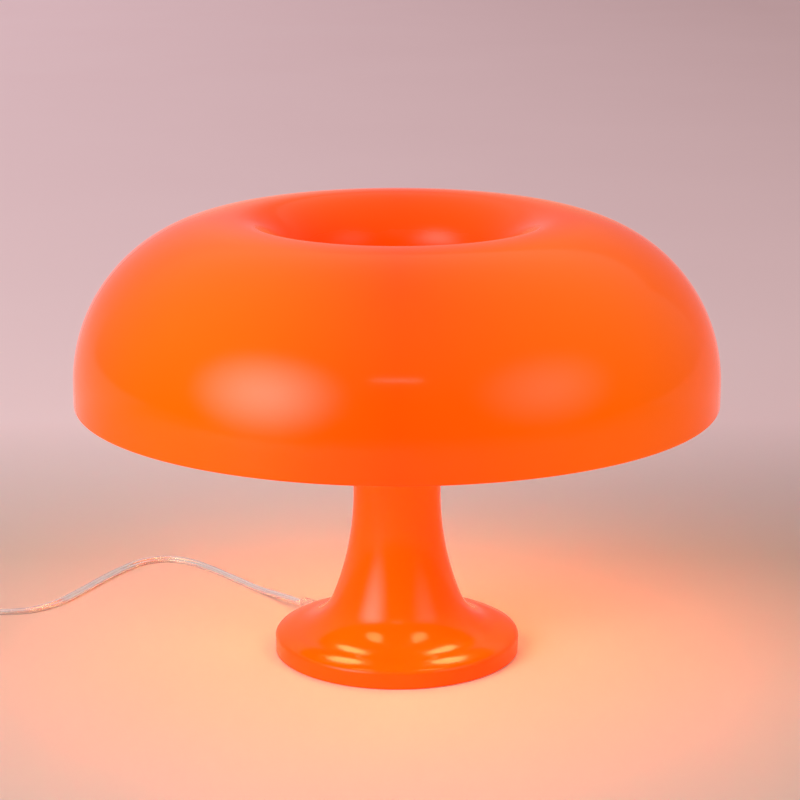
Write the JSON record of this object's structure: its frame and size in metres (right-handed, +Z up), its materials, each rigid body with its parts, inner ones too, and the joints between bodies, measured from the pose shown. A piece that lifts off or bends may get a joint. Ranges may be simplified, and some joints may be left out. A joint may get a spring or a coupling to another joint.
{
  "type": "table lamp",
  "caption": "Mushroom table lamp: flared base and stem in one shell, wide translucent shade with a well in its top, bulbs under the shade, clear flex with in-line switch and plug.",
  "frame": {"origin": "on the table, under the middle of the base", "axes": "+Z up along the stem, +Y away from the viewer, +X to the picture's right"},
  "size_m": [0.4738, 0.32, 0.223],
  "materials": {
    "base_plastic": "glossy moulded, orange",
    "shade_plastic": "glossy, translucent, orange",
    "plated_steel": "zinc plated",
    "ballast": "rough cast",
    "dark_rubber": "matt",
    "clear_flex": "clear, over bright metal cores",
    "white_plastic": "white",
    "holder_plastic": "off-white, heat resistant",
    "contact_brass": "bright",
    "cap_metal": "satin",
    "bulb_glass": "pearl"
  },
  "bodies": {
    "lamp": {"base_body": "base_plastic", "base_weight": "ballast", "base_cover": "plated_steel", "foot_ring": "dark_rubber", "cover_screws": "plated_steel", "cord_grommet": "clear_flex", "cord_clamp": "holder_plastic", "clamp_screws": "plated_steel", "supply_lead": "clear_flex", "terminal_block": "holder_plastic", "terminal_screws": "plated_steel", "head_wires": "holder_plastic", "stem_washer": "plated_steel", "stem_nut": "plated_steel", "threaded_tube": "plated_steel", "holder_bracket": "plated_steel", "bracket_washer": "plated_steel", "bracket_nut": "plated_steel", "shade_pillar": "plated_steel", "support_plate": "plated_steel", "seat_ring": "dark_rubber", "centre_contacts": "contact_brass", "holder_screws": "plated_steel", "cord_lead": "clear_flex", "cord_link": "clear_flex", "cord_coil": "clear_flex", "switch_base": "white_plastic", "switch_cover": "white_plastic", "switch_terminals": "contact_brass", "switch_screws": "plated_steel", "plug_body": "white_plastic", "plug_pins": "contact_brass", "lampholder_back_right": "holder_plastic", "screw_shell_back_right": "contact_brass", "bulb_cap_back_right": "cap_metal", "bulb_back_right": "bulb_glass", "lampholder_back_left": "holder_plastic", "screw_shell_back_left": "contact_brass", "bulb_cap_back_left": "cap_metal", "bulb_back_left": "bulb_glass", "lampholder_front_left": "holder_plastic", "screw_shell_front_left": "contact_brass", "bulb_cap_front_left": "cap_metal", "bulb_front_left": "bulb_glass", "lampholder_front_right": "holder_plastic", "screw_shell_front_right": "contact_brass", "bulb_cap_front_right": "cap_metal", "bulb_front_right": "bulb_glass"},
    "shade": {"shade": "shade_plastic", "knob_washer": "plated_steel"},
    "shade_knob": {"shade_knob": "base_plastic"},
    "switch_rocker": {"switch_rocker": "white_plastic"}
  },
  "joints": [
    {"name": "shade_lift", "type": "slide", "parent": "lamp", "child": "shade", "axis": [0, 0, 1], "range_m": [0, 0.1]},
    {"name": "knob_turn", "type": "hinge", "parent": "shade", "child": "shade_knob", "pos_m": [0, 0, 0.18], "axis": [0, 0, 1], "continuous": true},
    {"name": "rocker_tilt", "type": "hinge", "parent": "lamp", "child": "switch_rocker", "pos_m": [-0.246, -0.0155, 0.0133], "axis": [-1, 0, 0], "range_deg": [0, 18]}
  ]
}
